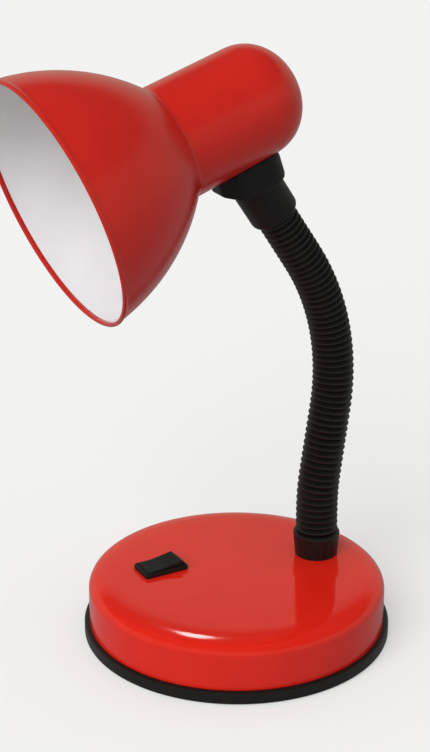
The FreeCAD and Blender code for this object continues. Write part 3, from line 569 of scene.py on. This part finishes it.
def crown(radius, height):
    """Points of the cover's crown from its middle to its side: flat, then rounder and rounder"""
    points = [Vector((0, height)), Vector((crown_start, height))]
    slope = 0.0
    for size, end_slope in crown_arcs:
        end = math.radians(end_slope)
        points += arc_onward(points[-1], size, slope, end, crown_steps)
        slope = end
    size = (radius - points[-1].x) / (1 - math.sin(slope))
    return points + arc_onward(points[-1], size, slope, math.pi / 2, shoulder_steps)


inner_radius = cover_radius - cover_wall
inner_top = base_height - cover_wall
cover_outline = crown(cover_radius, base_height)
cover_outline += [(cover_radius, cover_edge), (inner_radius, cover_edge)]
cover_outline += crown(inner_radius, inner_top)[::-1]
cover = lathe("base_cover_skin", cover_outline)
half_cut_x = switch_body_width / 2 + cutout_gap
half_cut_y = switch_body_length / 2 + cutout_gap
cut(
    cover,
    box_piece("cutter_switch", (switch_x - half_cut_x, switch_y - half_cut_y, inner_top - cover_wall),
              (switch_x + half_cut_x, switch_y + half_cut_y, base_height + cover_wall)),
    rod_piece("cutter_stem", stem_hole_radius, Matrix.Translation((0, neck_y, base_height))),
    rod_piece("cutter_bush", bush_hole_radius, Matrix.Translation((0, cover_radius, bush_height))
              @ Matrix.Rotation(-math.pi / 2, 4, "X")),
)
dress(cover, "base", "red_enamel", "red_enamel", "base_cover")

# Trim round the foot of the base

trim_bore_radius = cover_radius + trim_gap
trim_outer_radius = cover_radius + trim_proud
trim = lathe("base_trim_skin", rounded([
    (trim_recess_radius, trim_bottom, 0),
    (trim_outer_radius, trim_bottom, trim_rounding),
    (trim_outer_radius, trim_top, trim_rounding),
    (trim_bore_radius, trim_top, 0),
    (trim_bore_radius, trim_lip_top, 0),
    (cover_radius - trim_lip_width, trim_lip_top, 0),
    (cover_radius - trim_lip_width, trim_lip_bottom, 0),
    (trim_recess_radius, trim_lip_bottom, 0),
]))
dress(trim, "base", "black_satin", "black_plastic", "base_trim")

# Collar at the foot of the neck

collar = lathe("collar_skin", rounded([
    (stem_hole_radius, -collar_sunk, 0), (collar_foot_radius, -collar_sunk, 0),
    (collar_top_radius, collar_height, collar_rounding),
    (collar_lip_radius, collar_height, collar_lip_rounding),
    (collar_lip_radius, collar_height - collar_lip_depth, 0),
    (collar_bore_radius, collar_height - collar_lip_depth, 0),
    (collar_bore_radius, collar_floor, 0), (stem_hole_radius, collar_floor, 0),
]), Matrix.Translation((0, neck_y, base_height)), around_collar)
dress(collar, "base", "black_fluted", "black_plastic", "gooseneck_collar")

# Switch: the bezel with the walls of its well, and the rocker

half_length = bezel_length / 2
half_width = bezel_width / 2
bezel_rings = [(switch_body_width / 2, switch_body_length / 2, window_corner, 0)]
bezel_rings.append((half_width, half_length, bezel_corner, 0))
for step in range(bar_corner_steps + 1):
    angle = math.pi / 2 * step / bar_corner_steps
    inset = bezel_rounding * (1 - math.cos(angle))
    bezel_rings.append((half_width - inset, half_length - inset, bezel_corner,
                        bezel_height - bezel_rounding * (1 - math.sin(angle))))
for step in range(window_edge_steps + 1):
    angle = math.pi / 2 * step / window_edge_steps
    inset = window_rounding * (1 - math.sin(angle))
    bezel_rings.append((window_width / 2 + inset, window_length / 2 + inset, window_corner,
                        bezel_height - window_rounding * (1 - math.cos(angle))))
bezel_rings.append((window_width / 2, window_length / 2, window_corner, -switch_well_depth))
bezel_rings.append((tiny, tiny, 0, -switch_well_depth))
bezel_rings.append((tiny, tiny, 0, -switch_body_depth))
bezel_rings.append((switch_body_width / 2, switch_body_length / 2, window_corner,
                    -switch_body_depth))
bezel = bar_frame("switch_bezel_skin", bezel_rings,
                  Matrix.Translation((switch_x, switch_y, base_height)))
dress(bezel, "base", "black_satin", "black_plastic", "switch_housing")

rocker = moulded("rocker_skin", "switch_rocker", rocker_grid, rocker_smooth_rounds)
dress(rocker, "rocker", "black_satin", "black_plastic", "switch_rocker")

# Saddle between the neck and the shade

saddle = moulded("saddle_skin", "head_saddle", saddle_grid, saddle_smooth_rounds)
dress(saddle, "head", "black_matt", "black_plastic", "head_saddle")

# Ribbed sleeve of the neck, one piece about each joint


def crest_radius(place):
    """Radius of the sleeve over its ribs, at a distance along the neck"""
    share = (place - sleeve_start) / (route_length - sleeve_start)
    return sleeve_radius_low + (sleeve_radius_high - sleeve_radius_low) * share


def sleeve_rings(index):
    """Distances along the neck and radii of one length of the sleeve, outside then inside"""
    start = sleeve_start + index * length_step
    rings = []
    if index == 0:
        rings.append((start - sleeve_insert, insert_radius))
    for rib in range(ribs_per_length):
        foot = start + rib * rib_pitch
        for step in range(points_per_rib):
            along = step / points_per_rib
            lift = math.sin(math.pi * along) ** rib_fullness_share
            rings.append((foot + along * rib_pitch, crest_radius(foot) - rib_rise * (1 - lift)))
    end = start + length_step
    rings.append((end, crest_radius(end) - rib_rise))
    if index == sleeve_lengths - 1:
        rings.append((end + sleeve_insert, insert_radius))
    inside = [(rings[-1][0], sleeve_bore_radius)]
    inside += [(start + rib * rib_pitch, sleeve_bore_radius)
               for rib in range(ribs_per_length - 1, 0, -1)]
    inside.append((rings[0][0], sleeve_bore_radius))
    return rings + inside


for index in range(sleeve_lengths):
    vertices = []
    rings = sleeve_rings(index)
    for distance, radius in rings:
        place, lean = route_point(distance)
        tilt = Matrix.Rotation(lean, 3, "X")
        for step in range(around_sleeve):
            angle = 2 * math.pi * step / around_sleeve
            vertices.append(place + tilt @ Vector((radius * math.cos(angle),
                                                   radius * math.sin(angle), 0)))
    sleeve = piece_from("sleeve_skin_%d" % (index + 1), vertices,
                        ring_faces(len(rings), around_sleeve), sharp=sleeve_sharp_angle)
    dress(sleeve, None, "black_hose", "black_rubber", "neck_sleeve_%d" % (index + 1))
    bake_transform(sleeve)


# Shade: red outside, white inside


def shade_outline(inset):
    """The shade's half outline from rim to top, (radius, place), inset from the outside"""
    rim = rim_radius - inset
    waist = neck_front_radius - inset
    back = neck_back_radius - inset
    waist_place = bell_depth - inset * waist_shift_share
    radius = bell_arc_radius - inset
    first, last = Vector((rim, 0)), Vector((waist, waist_place))
    chord = last - first
    rise = radius - math.sqrt(radius ** 2 - chord.length_squared / 4)
    outward = Vector((chord.y, -chord.x)).normalized()
    centre = (first + last) / 2 + outward * (rise - radius)
    points = swept(centre, first - centre, last - centre, shade_steps)
    points = soften(points + [Vector((back, neck_end))], waist_place, bell_fillet + inset)
    top = neck_end + dome_depth - inset
    poles = [Vector((back, neck_end)),
             Vector((back, neck_end + dome_fullness_share * (top - neck_end))),
             Vector((dome_fullness_share * back, top)), Vector((0, top))]
    return points + bent(poles, shade_steps)


def soften(points, waist_place, radius):
    """Round the corner between the bell and the neck by the fillet's radius"""
    corner = min(range(len(points)), key=lambda i: abs(points[i].y - waist_place))
    here = points[corner]
    to_bell = (points[corner - 1] - here).normalized()
    to_neck = (points[corner + 1] - here).normalized()
    half = to_bell.angle(to_neck) / 2
    reach = radius / math.tan(half)
    kept = [p for p in points[:corner] if (p - here).length > reach * fillet_clearance_share]
    start = here + to_bell * reach
    end = here + to_neck * reach
    centre = here + (to_bell + to_neck).normalized() * (radius / math.sin(half))
    arc = swept(centre, start - centre, end - centre, fillet_steps)
    return kept + arc + points[corner + 1:]


outside = shade_outline(0.0)
middle = shade_outline(shade_wall / 2)
inside = shade_outline(shade_wall)
bead_centre = Vector((rim_radius - shade_wall / 2, 0))
bead = []
for step in range(rim_bead_points):
    angle = math.radians(rim_bead_start - step * rim_bead_turn)
    bead.append(bead_centre + Vector((rim_bead_radius * math.cos(angle),
                                      rim_bead_radius * math.sin(angle))))
outside = [p for p in outside if p.y > skin_start]
inner_start = [p for p in middle if p.y > skin_inner_start]
shade_skin = lathe("shade_skin", bead[::-1] + outside + inner_start[::-1], head_place,
                   around_shade, shade_sharp_angle)
# The shade's skin takes the darker copy of the red enamel, which is painted shade
dress(shade_skin, "head", "red_enamel_head_shaded", "red_enamel", "shade")
lining = [p for p in inside if p.y > skin_start]
lining_back = [p for p in shade_outline(shade_wall / 2 + skin_gap) if p.y > skin_start]
shade_lining = lathe("shade_lining", lining + lining_back[::-1], head_place,
                     around_shade, shade_sharp_angle)
dress(shade_lining, "head", "white_enamel", "white_enamel", "shade")

# Bulb


def bulb_outline(inset):
    """The bulb's half outline, (radius, place)"""
    radius = bulb_radius - inset
    neck = bulb_neck_radius - inset
    angle = math.radians(bulb_leave_angle)
    points = []
    for step in range(bulb_steps + 1):
        turn = -math.pi / 2 + (angle + math.pi / 2) * step / bulb_steps
        points.append(Vector((radius * math.cos(turn), bulb_centre + radius * math.sin(turn))))
    leave = points[-1]
    end = Vector((neck, bulb_neck_place))
    reach = (end - leave).length * bulb_shoulder_share
    poles = [leave, leave + Vector((-math.sin(angle), math.cos(angle))) * reach,
             end - Vector((0, reach)), end]
    return points + bent(poles, bulb_shoulder_steps)


bulb = lathe("bulb_skin", bulb_outline(0.0) + bulb_outline(bulb_wall)[::-1], head_place,
             around_bulb, shade_sharp_angle)
dress(bulb, "head", "bulb_frost", "bulb_glass", "bulb_glass")


# Floor and light, in metres: lamps by the direction towards them, brightness of what the
# surfaces mirror by the sine of its height angle

floor_half = 9.0
floor_colour = (0.4, 0.4, 0.4, 1)
floor_seen_colour = (0.91, 0.91, 0.903, 1)
floor_glow_colour = (0.89, 0.89, 0.875, 1)
floor_glow_share = 0.45
backdrop_colour = (0.885, 0.885, 0.875, 1)
world_light = (0.56, 0.56, 0.56, 1)
world_seen = (0.52, 0.52, 0.43, 1)
world_seen_above = (0.08, 0.08, 0.08, 1)
world_bright_sine = 0.475
world_dark_sine = 0.56
key_from = (0.36, -0.7, 0.62)
key_strength = 2.15
key_angle = 45.0
glint_from = (-0.64, 0.28, 0.715)
glint_along = (0.141, -0.148, 0.179)
glint_distance = 3.0
glint_width = 0.2
glint_length = 0.62
glint_power = 4.4

# Camera, at the photograph's angle, distance and lens

camera_target = (-45.0, 13.5, 110.6)
camera_distance = 1000.0
camera_azimuth = 60.754
camera_elevation = 22.528
camera_lens = 99.93
camera_sensor = 36.0
camera_nearest = 10.0
camera_farthest = 50000.0


def ray_mix(tree, seen, kinds, otherwise):
    """A shader that mixes two, the first one for rays of some kinds"""
    light_path = tree.nodes.new("ShaderNodeLightPath")
    total = light_path.outputs[kinds[0]]
    for kind in kinds[1:]:
        more = tree.nodes.new("ShaderNodeMath")
        more.operation = "MAXIMUM"
        tree.links.new(total, more.inputs[0])
        tree.links.new(light_path.outputs[kind], more.inputs[1])
        total = more.outputs[0]
    mix = tree.nodes.new("ShaderNodeMixShader")
    tree.links.new(total, mix.inputs["Fac"])
    tree.links.new(otherwise, mix.inputs[1])
    tree.links.new(seen, mix.inputs[2])
    return mix.outputs[0]


def plain_node(tree, kind, colour):
    """A shader node of one colour"""
    node = tree.nodes.new(kind)
    node.inputs["Color"].default_value = colour
    return node


def floor_material():
    """A pale floor as the camera sees it, and a greyer one for the light that bounces off it"""
    material = bpy.data.materials.new("floor")
    material.use_nodes = True
    tree = material.node_tree
    tree.nodes.remove(tree.nodes["Principled BSDF"])
    matt = plain_node(tree, "ShaderNodeBsdfDiffuse", floor_colour)
    pale = plain_node(tree, "ShaderNodeBsdfDiffuse", floor_seen_colour)
    glow = plain_node(tree, "ShaderNodeEmission", floor_glow_colour)
    shown = tree.nodes.new("ShaderNodeMixShader")
    shown.inputs["Fac"].default_value = floor_glow_share
    tree.links.new(pale.outputs[0], shown.inputs[1])
    tree.links.new(glow.outputs[0], shown.inputs[2])
    tree.links.new(ray_mix(tree, shown.outputs[0], ("Is Camera Ray",), matt.outputs[0]),
                   tree.nodes["Material Output"].inputs["Surface"])
    return material


def add_floor():
    """A plain floor"""
    mesh = bpy.data.meshes.new("floor")
    mesh.from_pydata([(x * floor_half, y * floor_half, 0)
                      for x, y in ((-1, -1), (1, -1), (1, 1), (-1, 1))], [], [(0, 1, 2, 3)])
    floor = bpy.data.objects.new("floor", mesh)
    bpy.context.scene.collection.objects.link(floor)
    mesh.materials.append(floor_material())


def add_surroundings():
    """A pale backdrop, even light from all round, and a bright low band in the reflections"""
    world = bpy.data.worlds.new("world")
    bpy.context.scene.world = world
    world.use_nodes = True
    tree = world.node_tree
    even = tree.nodes["Background"]
    even.inputs["Color"].default_value = world_light
    mirrored = tree.nodes.new("ShaderNodeBackground")
    place = tree.nodes.new("ShaderNodeTexCoord")
    split = tree.nodes.new("ShaderNodeSeparateXYZ")
    rise = tree.nodes.new("ShaderNodeValToRGB")
    low_end, high_end = rise.color_ramp.elements
    low_end.position = world_bright_sine
    low_end.color = world_seen
    high_end.position = world_dark_sine
    high_end.color = world_seen_above
    tree.links.new(place.outputs["Generated"], split.inputs[0])
    tree.links.new(split.outputs["Z"], rise.inputs["Fac"])
    tree.links.new(rise.outputs["Color"], mirrored.inputs["Color"])
    backdrop = plain_node(tree, "ShaderNodeBackground", backdrop_colour)
    kinds = ("Is Glossy Ray", "Is Transmission Ray")
    lit = ray_mix(tree, mirrored.outputs[0], kinds, even.outputs[0])
    tree.links.new(ray_mix(tree, backdrop.outputs[0], ("Is Camera Ray",), lit),
                   tree.nodes["World Output"].inputs["Surface"])


def add_key():
    """A soft lamp from above, to the left of the camera"""
    data = bpy.data.lights.new("lamp_key", "SUN")
    data.energy = key_strength
    data.angle = math.radians(key_angle)
    lamp = bpy.data.objects.new("lamp_key", data)
    lamp.rotation_mode = "QUATERNION"
    lamp.rotation_quaternion = Vector(key_from).to_track_quat("Z", "Y")
    lamp.visible_glossy = False
    bpy.context.scene.collection.objects.link(lamp)


def add_glint():
    """A long lamp that lights only the base cover, for the highlight on its shoulder"""
    data = bpy.data.lights.new("lamp_glint", "AREA")
    data.shape = "ELLIPSE"
    data.size = glint_width
    data.size_y = glint_length
    data.energy = glint_power
    lamp = bpy.data.objects.new("lamp_glint", data)
    out = Vector(glint_from).normalized()
    across = Vector(glint_along).cross(out).normalized()
    turned = Matrix((across, out.cross(across), out)).transposed().to_4x4()
    lamp.matrix_world = Matrix.Translation(out * glint_distance) @ turned
    bpy.context.scene.collection.objects.link(lamp)
    lit = bpy.data.collections.new("lit_by_glint")
    lit.objects.link(cover)
    lamp.light_linking.receiver_collection = lit


def add_camera():
    """The camera, and a view that shows colours as they are"""
    scene = bpy.context.scene
    data = bpy.data.cameras.new("camera")
    data.lens = camera_lens
    data.sensor_width = camera_sensor
    data.sensor_fit = "AUTO"
    data.clip_start = camera_nearest * mm
    data.clip_end = camera_farthest * mm
    item = bpy.data.objects.new("camera", data)
    azimuth, elevation = math.radians(camera_azimuth), math.radians(camera_elevation)
    back = Vector((math.sin(azimuth) * math.cos(elevation),
                   -math.cos(azimuth) * math.cos(elevation), math.sin(elevation)))
    item.location = Vector(camera_target) * mm + back * (camera_distance * mm)
    item.rotation_mode = "QUATERNION"
    item.rotation_quaternion = back.to_track_quat("Z", "Y")
    scene.collection.objects.link(item)
    scene.camera = item
    scene.view_settings.view_transform = "Standard"


add_floor()
add_surroundings()
add_key()
add_glint()
add_camera()
